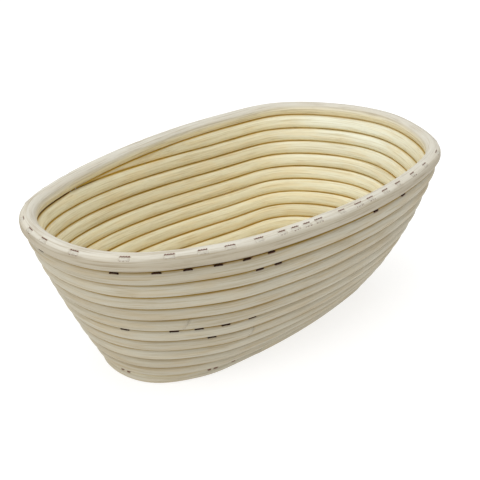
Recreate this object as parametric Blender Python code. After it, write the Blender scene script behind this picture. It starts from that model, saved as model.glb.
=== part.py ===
"""Oval banneton: a proofing basket wound from round rattan cane and stapled row to row.

The basket stands on the XY plane with its long side along X. A strand of cane starts as a
hairpin in the middle of the floor, winds outwards to the base edge and then climbs the
flared wall. A slightly thicker cane, bent into a hoop, is stapled on top as the rim.
"""
import math

import bmesh
import bpy
from mathutils import Matrix, Vector

# Driving dimensions, in metres.
CANE_DIAMETER = 0.0071
RIM_CANE_DIAMETER = 0.0079
CANE_GAP = 0.0004
RIM_HALF_LENGTH = 0.1200     # centre line of the rim cane
RIM_HALF_WIDTH = 0.0712
WALL_ROWS = 11               # rows under the rim; the last one is the base edge
FLOOR_TURNS = 4
HAIRPIN_HALF_WIDTH = 0.0040  # centre line of the first turn, in the middle of the floor
CORNER_ROOM = 0.0010         # keeps a cane that crosses on to the wall off the turn inside it
ROOM_SKEW = 0.7              # that room is widest a little outside the middle of the turn
BASE_SHIFT = -0.0040         # the base edge sits this far along X from under the rim

# Lean of the wall from upright, at the rim and at the base edge.
SIDE_LEAN = (math.radians(8.5), math.radians(43.5))
END_LEAN = (math.radians(22.6), math.radians(30.3))

# The outline is an oval of four arcs, whose end radius is this share of its half width.
END_ROUNDNESS = 0.894
# Lobes that hand winding leaves in the oval: waves a turn, then cosine and sine in metres.
HAND_LOBES = ((2, 0.0, 0.0015), (3, -0.0025, 0.0009), (5, 0.0010, -0.0007))
EDGE_LOBES = 0.40            # share of the lobes left at the base edge

# The wall's profile passes from side to end around the shoulders: less is nearer the sides.
SHOULDER = 0.70

# Each turn runs level, then climbs to the next row along the +Y side. The climb starts before
# the side's middle, and its end is further round for each row up.
CLIMB_START = -0.0450        # distances along the row from the middle of that side
CLIMB_END_TOP = 0.0800
CLIMB_END_STEP = 0.0021
CLIMB_EASE = 0.50            # 0 climbs at one slope, 1 eases fully in and out
TIP_DIAMETER = 0.0010        # both ends of the strand are pared down to this

# Turns are counted counter-clockwise from the -X end. The strand is spliced from four canes.
LOWER_SPLICE = 4.175
MIDDLE_SPLICE = 8.145
UPPER_SPLICE = 10.086
SPLICE_GAP = 0.0010

# The hoop's ends meet in a slanted scarf joint. Fractions of a turn are from the +X end.
SCARF_FRACTION = 0.6035
SCARF_LENGTH = 0.036

# Staples are bent from flattened steel wire.
STAPLE_WIRE = 0.0009
RIM_STAPLE_WIDTH = 0.0050
GROOVE_STAPLE_WIDTH = 0.0042
RIM_STAPLE_BREADTH = 0.0016
GROOVE_STAPLE_BREADTH = 0.0009
STAPLE_CLEARANCE = 0.0003
CROWN_TILT = math.radians(22.0)       # rim crowns sit this far outwards from the line of the wall
LEG_TILT = math.radians(10.0)         # and their legs slope back in to the row below
RIM_CROWN_RADIUS = 0.0035             # from the rim cane's centre to the top of the crown
RIM_LEG_REACH = 0.0125
LEAST_STAPLED = 0.0036                # a leg would split the pared tip where it is thinner
GROOVE_CROWN_OUT = 0.0022             # crown centre, outwards from where two rows meet
GROOVE_LEG_PAST = 0.0015              # past the centre of the row below
# Staples driven by hand, unevenly spaced, by fraction of a turn. The rest of the rim's are even.
RIM_STAPLES = (0.4485, 0.4705, 0.4915, 0.521, 0.5555, 0.5835, 0.606, 0.6255, 0.6475, 0.6665,
               0.678, 0.6885, 0.6995, 0.7225, 0.7405, 0.7545, 0.7735, 0.792, 0.816, 0.840)
EVEN_RIM_GAPS = 19
EVEN_RIM_WANDER = 0.0011              # how far the even ones stray
RIM_GROOVE_STAPLES = (0.481, 0.546, 0.573, 0.594, 0.6158, 0.637, 0.657, 0.764, 0.804)
# Staples in lower grooves: the row above the groove, and the fraction of a turn.
WALL_GROOVE_STAPLES = ((1, 0.648), (1, 0.664), (5, 0.537), (5, 0.576), (5, 0.597), (5, 0.621),
                       (5, 0.646), (6, 0.608))

# Facets of the round canes: a new point after this much bend or this much length.
WALL_BEND = math.radians(9.5)
FLOOR_BEND = math.radians(13.0)
STRAIGHT_LENGTH = 0.018
LEAST_STEP = 0.004                    # in turns, from a cane's end to the next point
OUTLINE_STEPS = 400
PARING_STRIDE = 0.001                 # in turns, when looking for a pared end
HALF_FACET = math.radians(22.5)       # turns the octagon so that a flat faces down

PITCH = CANE_DIAMETER + CANE_GAP
RIM_PITCH = (CANE_DIAMETER + RIM_CANE_DIAMETER) / 2 + CANE_GAP
WALL_SLOPE = RIM_PITCH + (WALL_ROWS - 1) * PITCH
TOTAL_ROWS = WALL_ROWS + FLOOR_TURNS
FLOOR_Z = CANE_DIAMETER / 2 * math.cos(HALF_FACET)


def slope_at(row):
    """Distance down the wall from the rim's centre line to a row, which need not be whole."""
    if row < 1:
        return row * RIM_PITCH
    return RIM_PITCH + (min(row, WALL_ROWS) - 1) * PITCH


def inset_and_drop(lean, slope):
    """The wall's profile is an arc, because its lean changes evenly down the slope."""
    bend = (lean[1] - lean[0]) / WALL_SLOPE
    angle = lean[0] + bend * slope
    inset = (math.cos(lean[0]) - math.cos(angle)) / bend
    drop = (math.sin(angle) - math.sin(lean[0])) / bend
    return inset, drop


SIDE_INSET, SIDE_DROP = inset_and_drop(SIDE_LEAN, WALL_SLOPE)
END_INSET, END_DROP = inset_and_drop(END_LEAN, WALL_SLOPE)
EDGE_HALF_WIDTH = RIM_HALF_WIDTH - SIDE_INSET
# The floor's turns share out the width that the base edge leaves.
FLOOR_PITCH = (EDGE_HALF_WIDTH - HAIRPIN_HALF_WIDTH) / FLOOR_TURNS


def floor_inset(row):
    """Distance in from the base edge, with a little room where a cane crosses the corner."""
    turns_in, part = divmod(max(row - WALL_ROWS, 0.0), 1.0)
    room = max(CORNER_ROOM - turns_in * (FLOOR_PITCH - PITCH), 0.0)
    return (turns_in + part) * FLOOR_PITCH + room * math.sin(math.pi * part ** ROOM_SKEW)


def oval(half_length, half_width, fraction):
    """Point and outward normal on the four-arc oval, at a fraction of a turn from +X."""
    end_radius = END_ROUNDNESS * half_width
    end_centre = half_length - end_radius
    side_radius = (end_centre ** 2 + half_width ** 2 - end_radius ** 2) / (2 * (half_width - end_radius))
    side_centre = half_width - side_radius
    meet = math.atan2(-side_centre, end_centre)
    end_arc = end_radius * meet
    side_arc = side_radius * (math.pi / 2 - meet)
    quarter = int(4 * fraction) % 4
    along = (4 * fraction) % 1.0
    if quarter % 2:
        along = 1.0 - along
    distance = along * (end_arc + side_arc)
    if distance < end_arc:
        angle = distance / end_radius
        x = end_centre + end_radius * math.cos(angle)
        y = end_radius * math.sin(angle)
    else:
        angle = meet + (distance - end_arc) / side_radius
        x = side_radius * math.cos(angle)
        y = side_centre + side_radius * math.sin(angle)
    mirror_x = -1.0 if quarter in (1, 2) else 1.0
    mirror_y = -1.0 if quarter in (2, 3) else 1.0
    point = Vector((mirror_x * x, mirror_y * y))
    normal = Vector((mirror_x * math.cos(angle), mirror_y * math.sin(angle)))
    return point, normal


def raw_cane_point(row, fraction):
    """Centre of the cane on a row: 0 is the rim, WALL_ROWS the base edge, more is floor."""
    slope = slope_at(row)
    side_inset, side_drop = inset_and_drop(SIDE_LEAN, slope)
    end_inset, end_drop = inset_and_drop(END_LEAN, slope)
    half_width = RIM_HALF_WIDTH - side_inset - floor_inset(row)
    half_length = RIM_HALF_LENGTH - end_inset - floor_inset(row)
    point, normal = oval(half_length, half_width, fraction)
    heading = math.atan2(normal.y, normal.x)
    lobe = 0.0
    for waves, cosine, sine in HAND_LOBES:
        lobe += cosine * math.cos(waves * heading) + sine * math.sin(waves * heading)
    lobe_share = 1.0 - (1.0 - EDGE_LOBES) * slope / WALL_SLOPE
    lobe_share *= min(half_width / EDGE_HALF_WIDTH, 1.0)
    point += normal * lobe * lobe_share
    side_height = SIDE_DROP - side_drop
    end_height = END_DROP - end_drop
    share = normal.x ** 2 / (normal.x ** 2 + SHOULDER * normal.y ** 2)
    height = side_height + (end_height - side_height) * share
    return Vector((point.x + BASE_SHIFT * slope / WALL_SLOPE, point.y, FLOOR_Z + height))


def rim_centre():
    """Middle of the rim's box, which is moved onto the Z axis."""
    points = [raw_cane_point(0, step / OUTLINE_STEPS) for step in range(OUTLINE_STEPS)]
    middle_x = (max(p.x for p in points) + min(p.x for p in points)) / 2
    middle_y = (max(p.y for p in points) + min(p.y for p in points)) / 2
    return Vector((middle_x, middle_y, 0.0))


RIM_CENTRE = rim_centre()


def cane_point(row, fraction):
    return raw_cane_point(row, fraction) - RIM_CENTRE


def cane_tangent(row, fraction):
    step = 1 / OUTLINE_STEPS
    return (cane_point(row, fraction + step) - cane_point(row, fraction - step)).normalized()


def row_length(row):
    points = [cane_point(row, step / OUTLINE_STEPS) for step in range(OUTLINE_STEPS)]
    return sum((points[i] - points[i - 1]).length for i in range(OUTLINE_STEPS))


ROW_LENGTHS = [row_length(row) for row in range(TOTAL_ROWS + 1)]


def climb(turns):
    """How far a turn has climbed to the next row, from 0 to 1."""
    row = TOTAL_ROWS - math.floor(turns)
    distance = (turns % 1.0 - 0.75) * ROW_LENGTHS[row]
    climb_end = CLIMB_END_TOP - CLIMB_END_STEP * (row - 1)
    progress = (distance - CLIMB_START) / (climb_end - CLIMB_START)
    progress = min(max(progress, 0.0), 1.0)
    eased = progress * progress * (3.0 - 2.0 * progress)
    return CLIMB_EASE * eased + (1.0 - CLIMB_EASE) * progress


def strand_fraction(turns):
    return (turns + 0.5) % 1.0


def strand_radius(turns):
    """Both ends are pared to fit the space that the neighbouring turn's climb leaves."""
    space = 1.0
    if turns < 0:
        space = climb(turns + 1)
    elif turns > TOTAL_ROWS - 1:
        space = 1.0 - climb(turns)
    return (PITCH * space - CANE_GAP) / 2


def strand_row(turns):
    """The level rows are whole; a pared end keeps to the side that the strand started from."""
    radius = strand_radius(turns)
    if turns < 0:
        return TOTAL_ROWS + (CANE_DIAMETER / 2 - radius) / FLOOR_PITCH
    if turns > TOTAL_ROWS - 1:
        return (RIM_CANE_DIAMETER / 2 + CANE_GAP + radius) / RIM_PITCH
    return TOTAL_ROWS - math.floor(turns) - climb(turns)


def strand_point(turns):
    return cane_point(strand_row(turns), strand_fraction(turns))


def pared_tip(turns, stride):
    """Turns wound where the strand is down to its tip, found from where it is full size."""
    while strand_radius(turns) * 2 > TIP_DIAMETER:
        turns += stride
    return turns


def make_material(name, colour, roughness, metallic=0.0):
    material = bpy.data.materials.new(name)
    material.use_nodes = True
    shader = material.node_tree.nodes["Principled BSDF"]
    shader.inputs["Base Color"].default_value = (*colour, 1.0)
    shader.inputs["Roughness"].default_value = roughness
    shader.inputs["Metallic"].default_value = metallic
    return material


def cane_curve(name, points, radii, diameter, material, cyclic=False):
    """A round cane along its centre points, with an octagonal section that has a flat below."""
    curve = bpy.data.curves.new(name, "CURVE")
    curve.dimensions = "3D"
    curve.twist_mode = "Z_UP"
    curve.bevel_depth = diameter / 2
    curve.bevel_resolution = 2
    curve.use_fill_caps = not cyclic
    spline = curve.splines.new("POLY")
    spline.points.add(len(points) - 1)
    for spline_point, point, radius in zip(spline.points, points, radii):
        spline_point.co = (*point, 1.0)
        spline_point.radius = radius / (diameter / 2)
        spline_point.tilt = HALF_FACET
    spline.use_cyclic_u = cyclic
    cane = bpy.data.objects.new(name, curve)
    curve.materials.append(material)
    parts.objects.link(cane)
    return cane


def bend_stations(row, bend):
    """Shares of a turn at which a row needs a point: close together where it bends."""
    stations = [0.0]
    bent = 0.0
    length = 0.0
    for step in range(1, OUTLINE_STEPS):
        share = step / OUTLINE_STEPS
        before = cane_tangent(row, 0.5 + share - 1 / OUTLINE_STEPS)
        here = cane_tangent(row, 0.5 + share)
        bent += here.angle(before)
        length += ROW_LENGTHS[row] / OUTLINE_STEPS
        if bent >= bend or length >= STRAIGHT_LENGTH:
            stations.append(share)
            bent = 0.0
            length = 0.0
    return stations


# Every wall row takes its points at the rim's stations, so that neighbours stay parallel.
WALL_STATIONS = bend_stations(0, WALL_BEND)


def winding_steps(start, end):
    """Numbers of turns at which the strand needs a point, from one splice to the next."""
    steps = [start]
    for turn in range(math.floor(start), math.ceil(end)):
        row = min(TOTAL_ROWS - turn, TOTAL_ROWS)
        stations = WALL_STATIONS
        if row > WALL_ROWS:
            stations = bend_stations(row, FLOOR_BEND)
        for share in stations:
            if start + LEAST_STEP < turn + share < end - LEAST_STEP:
                steps.append(turn + share)
    return steps + [end]


def wind_cane(name, start, end, material):
    """A length of the strand between two numbers of turns, less half a gap at each splice."""
    half_gap = SPLICE_GAP / 2 / ROW_LENGTHS[round(strand_row(end))]
    steps = winding_steps(start + half_gap, end - half_gap)
    points = [strand_point(turns) for turns in steps]
    radii = [strand_radius(turns) for turns in steps]
    return cane_curve(name, points, radii, CANE_DIAMETER, material)


def bend_rim(material):
    points = [cane_point(0, 0.5 + share) for share in WALL_STATIONS]
    radii = [RIM_CANE_DIAMETER / 2] * len(points)
    return cane_curve("rim_cane", points, radii, RIM_CANE_DIAMETER, material, cyclic=True)


def as_mesh(source, collection):
    """The curve as a closed mesh object, ready for a Boolean."""
    bpy.context.view_layer.update()
    evaluated = source.evaluated_get(bpy.context.evaluated_depsgraph_get())
    mesh = bpy.data.meshes.new_from_object(evaluated)
    shape = bmesh.new()
    shape.from_mesh(mesh)
    bmesh.ops.remove_doubles(shape, verts=shape.verts, dist=0.000001)
    bmesh.ops.recalc_face_normals(shape, faces=shape.faces)
    shape.to_mesh(mesh)
    shape.free()
    name = source.name
    matrix = source.matrix_world.copy()
    bpy.data.objects.remove(source)
    solid = bpy.data.objects.new(name, mesh)
    solid.matrix_world = matrix
    collection.objects.link(solid)
    mesh.shade_smooth()
    mesh.set_sharp_from_angle(angle=math.radians(50))
    return solid


def staple_outline(width, wire, top, bottom):
    """A staple's shape seen from the front: a crown between two legs."""
    outer = width / 2
    inner = outer - wire
    return [(-outer, top), (-outer, bottom), (-inner, bottom), (-inner, top - wire),
            (inner, top - wire), (inner, bottom), (outer, bottom), (outer, top)]


def flat_curve(name, outline, thickness):
    curve = bpy.data.curves.new(name, "CURVE")
    curve.dimensions = "2D"
    curve.fill_mode = "BOTH"
    curve.extrude = thickness / 2
    spline = curve.splines.new("POLY")
    spline.points.add(len(outline) - 1)
    for spline_point, (x, y) in zip(spline.points, outline):
        spline_point.co = (x, y, 0.0, 1.0)
    spline.use_cyclic_u = True
    return curve


def placement(centre, tangent, up):
    """Matrix that sets local X along the cane and local Y out of it."""
    side = tangent.cross(up).normalized()
    upright = side.cross(tangent)
    rotation = Matrix((tangent, upright, side)).transposed()
    return Matrix.Translation(centre) @ rotation.to_4x4()


def add_cutter(name, outline, thickness, matrix, collection):
    cutter = bpy.data.objects.new(name, flat_curve(name, outline, thickness))
    collection.objects.link(cutter)
    cutter.matrix_world = matrix
    cutter = as_mesh(cutter, collection)
    cutter.hide_render = True
    cutter.display_type = "WIRE"
    return cutter


def cut_with_collection(target, cutters):
    boolean = target.modifiers.new("holes", "BOOLEAN")
    boolean.operation = "DIFFERENCE"
    boolean.operand_type = "COLLECTION"
    boolean.collection = cutters
    boolean.solver = "EXACT"


def splits_tip(fraction):
    """Whether the strand's pared tip, under the rim here, is too thin for a staple's leg."""
    turns = TOTAL_ROWS - 1 + (fraction - 0.5) % 1.0
    return TIP_DIAMETER < 2 * strand_radius(turns) < LEAST_STAPLED


def rim_staple_fractions():
    """Fractions of a turn for all the rim staples, those set by hand first."""
    last = RIM_STAPLES[-1]
    gap = (RIM_STAPLES[0] + 1.0 - last) / EVEN_RIM_GAPS
    even = [last + n * gap + EVEN_RIM_WANDER * math.sin(2.4 * n) for n in range(1, EVEN_RIM_GAPS)]
    fractions = [fraction % 1.0 for fraction in (*RIM_STAPLES, *even)]
    return [fraction for fraction in fractions if not splits_tip(fraction)]


def add_rim_staples(material, cutters):
    clearance = STAPLE_CLEARANCE
    outline = staple_outline(RIM_STAPLE_WIDTH, STAPLE_WIRE, 0.0, -RIM_LEG_REACH)
    shape = flat_curve("rim_staple", outline, RIM_STAPLE_BREADTH)
    shape.materials.append(material)
    # The hole is open at the cane's top, and its floor under the crown leaves the same clearance.
    pocket = staple_outline(RIM_STAPLE_WIDTH + 2 * clearance, STAPLE_WIRE + 2 * clearance,
                            clearance, -RIM_LEG_REACH - clearance)
    pocket = [(x, RIM_CANE_DIAMETER / 2 if y > 0.0 else y) for x, y in pocket]
    hole_breadth = RIM_STAPLE_BREADTH + 2 * clearance
    for number, fraction in enumerate(rim_staple_fractions(), start=1):
        centre = cane_point(0, fraction)
        tangent = cane_tangent(0, fraction)
        up = (centre - cane_point(1, fraction)).normalized()
        crown = centre + Matrix.Rotation(CROWN_TILT, 3, tangent) @ up * RIM_CROWN_RADIUS
        matrix = placement(crown, tangent, Matrix.Rotation(LEG_TILT, 3, tangent) @ up)
        staple = bpy.data.objects.new(f"rim_staple_{number:02d}", shape)
        staple.matrix_world = matrix
        parts.objects.link(staple)
        add_cutter(f"rim_staple_hole_{number:02d}", pocket, hole_breadth, matrix, cutters)


def add_groove_staple(name, upper_row, fraction, material, cutters):
    """A staple driven from outside, in the groove under upper_row, into the row below."""
    clearance = STAPLE_CLEARANCE
    above = cane_point(upper_row, fraction)
    below = cane_point(upper_row + 1, fraction)
    down = (below - above).normalized()
    tangent = cane_tangent(upper_row + 1, fraction)
    outward = down.cross(tangent).normalized()
    meeting = below - down * PITCH / 2
    crown = meeting + outward * GROOVE_CROWN_OUT
    matrix = placement(crown, tangent, (crown - below).normalized())
    reach = (crown - below).length + GROOVE_LEG_PAST
    outline = staple_outline(GROOVE_STAPLE_WIDTH, STAPLE_WIRE, STAPLE_WIRE / 2, -reach)
    shape = flat_curve(name, outline, GROOVE_STAPLE_BREADTH)
    shape.materials.append(material)
    staple = bpy.data.objects.new(name, shape)
    staple.matrix_world = matrix
    parts.objects.link(staple)
    leg = GROOVE_STAPLE_BREADTH + 2 * clearance
    for side in (-1, 1):
        middle = side * (GROOVE_STAPLE_WIDTH - STAPLE_WIRE) / 2
        hole = [(middle - leg / 2, 0.0), (middle - leg / 2, -reach - clearance),
                (middle + leg / 2, -reach - clearance), (middle + leg / 2, 0.0)]
        add_cutter(f"{name}_hole_{side}", hole, leg, matrix, cutters)


def cut_scarf(rim):
    """A thin slanted cut leaves the hoop with two long bevelled ends that face each other."""
    angle = math.atan2(RIM_CANE_DIAMETER, SCARF_LENGTH)
    half = SCARF_LENGTH * 0.75
    kerf = [(-half, -CANE_GAP / 2), (half, -CANE_GAP / 2), (half, CANE_GAP / 2), (-half, CANE_GAP / 2)]
    centre = cane_point(0, SCARF_FRACTION)
    tangent = cane_tangent(0, SCARF_FRACTION)
    matrix = placement(centre, tangent, Vector((0.0, 0.0, 1.0))) @ Matrix.Rotation(angle, 4, "Z")
    cutter = add_cutter("scarf_cut", kerf, 2 * RIM_CANE_DIAMETER, matrix, scarf_cutters)
    boolean = rim.modifiers.new("scarf", "BOOLEAN")
    boolean.operation = "DIFFERENCE"
    boolean.object = cutter
    boolean.solver = "EXACT"


def new_collection(name):
    collection = bpy.data.collections.new(name)
    bpy.context.scene.collection.children.link(collection)
    return collection


def build():
    pale_cane = make_material("pale_cane", (0.78, 0.72, 0.60), 0.70)
    wall_cane = make_material("wall_cane", (0.70, 0.61, 0.42), 0.75)
    floor_cane = make_material("floor_cane", (0.68, 0.58, 0.38), 0.75)
    steel = make_material("staple_steel", (0.48, 0.44, 0.40), 0.45, metallic=1.0)

    wind_cane("floor_cane", pared_tip(0.0, -PARING_STRIDE), LOWER_SPLICE, floor_cane)
    lower = as_mesh(wind_cane("lower_wall_cane", LOWER_SPLICE, MIDDLE_SPLICE, wall_cane), parts)
    middle = as_mesh(wind_cane("middle_wall_cane", MIDDLE_SPLICE, UPPER_SPLICE, wall_cane), parts)
    last_turn = pared_tip(TOTAL_ROWS - 0.5, PARING_STRIDE)
    upper = as_mesh(wind_cane("upper_wall_cane", UPPER_SPLICE, last_turn, wall_cane), parts)
    rim = as_mesh(bend_rim(pale_cane), parts)

    add_rim_staples(steel, hole_cutters)
    for number, fraction in enumerate(RIM_GROOVE_STAPLES, start=1):
        add_groove_staple(f"rim_groove_staple_{number:02d}", 0, fraction, steel, groove_cutters)
    for number, (row, fraction) in enumerate(WALL_GROOVE_STAPLES, start=1):
        add_groove_staple(f"wall_groove_staple_{number:02d}", row, fraction, steel, groove_cutters)

    cut_scarf(rim)
    cut_with_collection(rim, hole_cutters)
    cut_with_collection(upper, hole_cutters)
    for cane in (lower, middle, upper):
        cut_with_collection(cane, groove_cutters)


for leftover in list(bpy.data.objects):
    bpy.data.objects.remove(leftover)

parts = new_collection("banneton_basket")
hole_cutters = new_collection("rim_hole_cutters")
groove_cutters = new_collection("groove_hole_cutters")
scarf_cutters = new_collection("scarf_cutters")
build()
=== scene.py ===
"""Looks of the oval banneton: rattan canes with fibres, pressed grooves, splices and steel staples.

The canes are wound again here from the same dimensions as the CAD part, with fine detail, and
each stands for its CAD node. The staples are bent from flat wire and take their places from
the CAD nodes.
"""
import math

import bpy
import numpy as np
from mathutils import Matrix, Vector


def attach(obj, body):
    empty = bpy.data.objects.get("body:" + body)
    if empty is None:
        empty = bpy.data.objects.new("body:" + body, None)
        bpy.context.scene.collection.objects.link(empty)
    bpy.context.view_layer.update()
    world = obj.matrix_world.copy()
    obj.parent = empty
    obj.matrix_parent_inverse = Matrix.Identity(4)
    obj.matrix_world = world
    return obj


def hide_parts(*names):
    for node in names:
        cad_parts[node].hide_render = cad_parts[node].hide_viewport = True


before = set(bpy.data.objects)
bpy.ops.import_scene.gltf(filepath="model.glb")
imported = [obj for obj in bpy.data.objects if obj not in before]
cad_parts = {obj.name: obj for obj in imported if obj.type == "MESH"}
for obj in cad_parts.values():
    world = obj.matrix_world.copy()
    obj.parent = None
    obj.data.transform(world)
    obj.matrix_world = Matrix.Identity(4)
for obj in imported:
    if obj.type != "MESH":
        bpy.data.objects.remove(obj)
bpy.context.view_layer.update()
BODY = "root"

# The winding, in metres, as in the CAD part.
CANE_DIAMETER = 0.0071
RIM_CANE_DIAMETER = 0.0079
CANE_GAP = 0.0004
RIM_HALF_LENGTH = 0.1200         # centre line of the rim cane
RIM_HALF_WIDTH = 0.0712
WALL_ROWS = 11                   # rows under the rim; the last one is the base edge
FLOOR_TURNS = 4
HAIRPIN_HALF_WIDTH = 0.0040      # centre line of the first turn, in the middle of the floor
CORNER_ROOM = 0.0010             # keeps a cane that crosses on to the wall off the turn inside it
ROOM_SKEW = 0.7                  # that room is widest a little outside the middle of the turn
BASE_SHIFT = -0.0040             # the base edge sits this far along X from under the rim
SIDE_LEAN = (math.radians(8.5), math.radians(43.5))      # from upright, at the rim and at the base
END_LEAN = (math.radians(22.6), math.radians(30.3))
END_ROUNDNESS = 0.894            # radius of the oval's end arcs, as a share of its half width
# Lobes that hand winding leaves in the oval: waves a turn, then cosine and sine in metres.
HAND_LOBES = ((2, 0.0, 0.0015), (3, -0.0025, 0.0009), (5, 0.0010, -0.0007))
EDGE_LOBES = 0.40                # share of the lobes left at the base edge
SHOULDER = 0.70                  # the wall's profile turns from side to end; less is nearer the sides
# Each turn runs level, then climbs to the next row along the +Y side, between these distances
# from that side's middle. The climb ends further round for each row up.
CLIMB_START = -0.0450
CLIMB_END_TOP = 0.0800
CLIMB_END_STEP = 0.0021
CLIMB_EASE = 0.50                # 0 climbs at one slope, 1 eases fully in and out
# Turns of the strand are counted counter-clockwise from the -X end, fractions from the +X end.
HALF_TURN = 0.5
CLIMB_SIDE = 0.75                # in turns, the middle of the +Y side
LOWER_SPLICE = 4.175
MIDDLE_SPLICE = 8.145
UPPER_SPLICE = 10.086
SCARF_FRACTION = 0.6035
SCARF_LENGTH = 0.036
HALF_FACET = math.radians(22.5)  # of the CAD part's canes, which lie on a flat

PITCH = CANE_DIAMETER + CANE_GAP
RIM_PITCH = (CANE_DIAMETER + RIM_CANE_DIAMETER) / 2 + CANE_GAP
WALL_SLOPE = RIM_PITCH + (WALL_ROWS - 1) * PITCH
TOTAL_ROWS = WALL_ROWS + FLOOR_TURNS
FLOOR_Z = CANE_DIAMETER / 2 * math.cos(HALF_FACET)

# The surface of the canes.
OUTWARD_SHARE = 0.96             # a cane's reach outwards and inwards, for its reach to the next row
SQUARENESS = 2.6                 # 2 is round; canes drawn tight are pressed a little flat
TOUCH_OVERLAP = 1.01             # leaves no hairline between rows that touch
RIM_RADIUS = 0.00393
RIM_CONTACT = 0.00400            # from the rim's centre line to where the row below presses on it
RIM_SQUARENESS = 2.2
THICKNESS_WOBBLE = 0.010         # as a share of the cane's reach
SIDE_WOBBLE = 0.00005
THICKNESS_WAVES = (0.043, 0.071, 0.19)                   # lengths of the wobbles' waves
SIDE_WAVES = (0.037, 0.062, 0.11)
RIM_WAVES = (9, 5, 3)            # whole waves in the hoop, so that it closes
RIM_SEED = 71
SLIT_SEED = 5
# Ridges: how many lie round the cane, on the rim how often they sway in the hoop, and their height.
CANE_RIDGES = ((3, 0.00005), (5, 0.00004), (8, 0.00003), (13, 0.000015))
CANE_RIDGE_SWAY = 0.8
RIM_RIDGES = ((4, 3, 0.00005), (7, 5, 0.00004), (11, 8, 0.00003), (17, 11, 0.00002))
RIM_RIDGE_SWAY = 0.9
TIP_SMOOTH = 0.0009              # a tip pared this thin has lost its ridges
RIDGES_GROW = 0.003              # and they are whole again with this much more cane
SPLICE_OVERLAP = 0.0001          # cut a hair long, so that the ends press together
SPLICE_SLANT = 0.5               # run of a splice's slanted cut for each unit of its height
SLANT_FADE = 0.008               # behind the cut, the mesh's rings straighten out over this length
LEAST_SPACE = 0.05               # where the visible strand's pared tips end
ARC_EASING = 0.018               # in turns, either way

# Marks on the canes.
GROOVE_SHADE_REACH = 0.0014            # the grooves' painted brown shade reaches this far out of the contact
GROOVE_FADE = 0.8                # and fades over this share of that
STAPLE_MARK_AND_SHADE = (0.0031, 0.0011)  # half length and reach of the dark mark around a groove staple: split fibres and painted shade of its pocket
NICK_STAIN = (0.0015, 0.0018)
STAIN_EDGE = 1.6                 # more is crisper
NICK_FRACTIONS = (0.505, 0.513, 0.605, 0.613, 0.6375)
NICK_OUT = 0.0022                # from where two rows meet
TIP_SHADE = 0.7                  # of the groove beside the strand's pared tip
SCARF_SHADE = 0.5                # of the groove below the scarf joint
# Where those two lie, in turns from the start of the last turn but one: first, last and easing.
TIP_GROOVE = (0.81, 1.02, 0.02, 0.06)
SCARF_GROOVE = (1.075, 1.165, 0.01, 0.01)
SCARF_LINE = 0.00018             # half width of the joint's line
SCARF_LINE_SHADE = 0.25
SCARF_LINE_REACH = 0.62          # of the scarf's length, either way

# Steel staples and how they press into the rim.
STAPLE_WIRE = 0.0009
STAPLE_CORNER = 0.0008
WIRE_SQUARING = 0.4              # 1 is round wire, less is flatter
LEG_SHORTER = 0.0002             # keeps the legs inside the CAD part's
CROWN_LIFT = 0.00030             # the rim's crowns lie almost flush with the bulging cane
CROWN_SINK = 0.00030             # the grooves' crowns are driven between the canes
GROOVE_BREADTH = 0.75            # and their wire is squeezed this much thinner there
END_CENTRE = 0.056               # centre of the rim's round ends, along X
TROUGH_DEPTH = 0.0004
TROUGH_EDGE = 0.0002
TROUGH_INSIDE = 0.00018          # the trough is this much wider than the crown on the inner side
TROUGH_MARGIN = 0.00008          # and this much on the other sides
SLIT_FADE = 0.0004
SLIT_RAGGED = 0.00012            # how far a slit's edge wanders
SLIT_WANDER = 0.0011             # and over what length
INNER_SLIT = 0.00028             # half widths of the slits
OUTER_SLIT = 0.00026
INNER_SLIT_SHADE = 0.8
SLIT_BREAKS = 0.0016             # the outer slit is broken once in this length
NEAR_CROWN = 0.02                # rings further off than this are left alone

# Steps of the meshes.
CANE_SIDES = 32
RIM_SIDES = 80
WIRE_SIDES = 16
CANE_STEP = 0.0020
FLOOR_STEP = 0.0009
RIM_STEP = 0.0020
FINE_STEP = 0.00035              # along the rim beside a staple
FINE_REACH = 0.0034              # from the middle of its crown, either way
OUTLINE_SAMPLES = 400
STRAND_SAMPLES = 1500            # a turn
RIM_SAMPLES = 20000
TIP_SAMPLES = 2000
EASING_SAMPLES = 7

# Tones, as linear red, green, blue and opacity. A tint multiplies the tone under it. The outer, inner and
# upper tints are painted light and shade on the side of the cane that faces the light. The end tint is
# painted light on the inside of the +X end. The groove tint is painted shade where rows meet.
WALL_TONES = {
    "pale": (0.477, 0.443, 0.349, 1), "deep": (0.428, 0.387, 0.293, 1),
    "outer": (1, 1, 1, 1), "inner": (1.70, 1.73, 1.60, 1), "upper": None,
    "end": (1.08, 1.17, 1.38, 1), "warm": (1.0, 0.92, 0.80, 1),
    "groove": (0.86, 0.62, 0.14, 1), "fibre": (0.82, 0.77, 0.68, 1),
}
RIM_TONES = {
    "pale": (0.65, 0.625, 0.57, 1), "deep": (0.60, 0.565, 0.505, 1),
    "outer": (0.70, 0.66, 0.56, 1), "inner": (1.23, 1.18, 0.94, 1), "upper": (1.03, 1.03, 0.98, 1),
    "end": (1, 1, 1, 1), "warm": (1.0, 0.98, 0.95, 1),
    "groove": (0.76, 0.54, 0.16, 1), "fibre": (0.78, 0.74, 0.68, 1),
}
# Noises in the straightened cane: scale a metre along it and across it, and detail.
CANE_NOISES = {"broad": (9, 90, 2), "patch": (40, 330, 2), "streak": (22, 820, 3),
               "fibre": (45, 1700, 3), "pore": (140, 4200, 2), "blotch": (70, 240, 3)}
# What they darken: from one value of the noise to another, by a share, with a tint.
CANE_DARKENING = (("patch", 0.45, 0.65, 0.60, "warm"), ("streak", 0.50, 0.68, 0.55, "fibre"),
                  ("fibre", 0.50, 0.66, 0.75, "fibre"), ("pore", 0.58, 0.74, 0.55, "fibre"),
                  ("blotch", 0.58, 0.76, 0.40, "fibre"))
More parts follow.
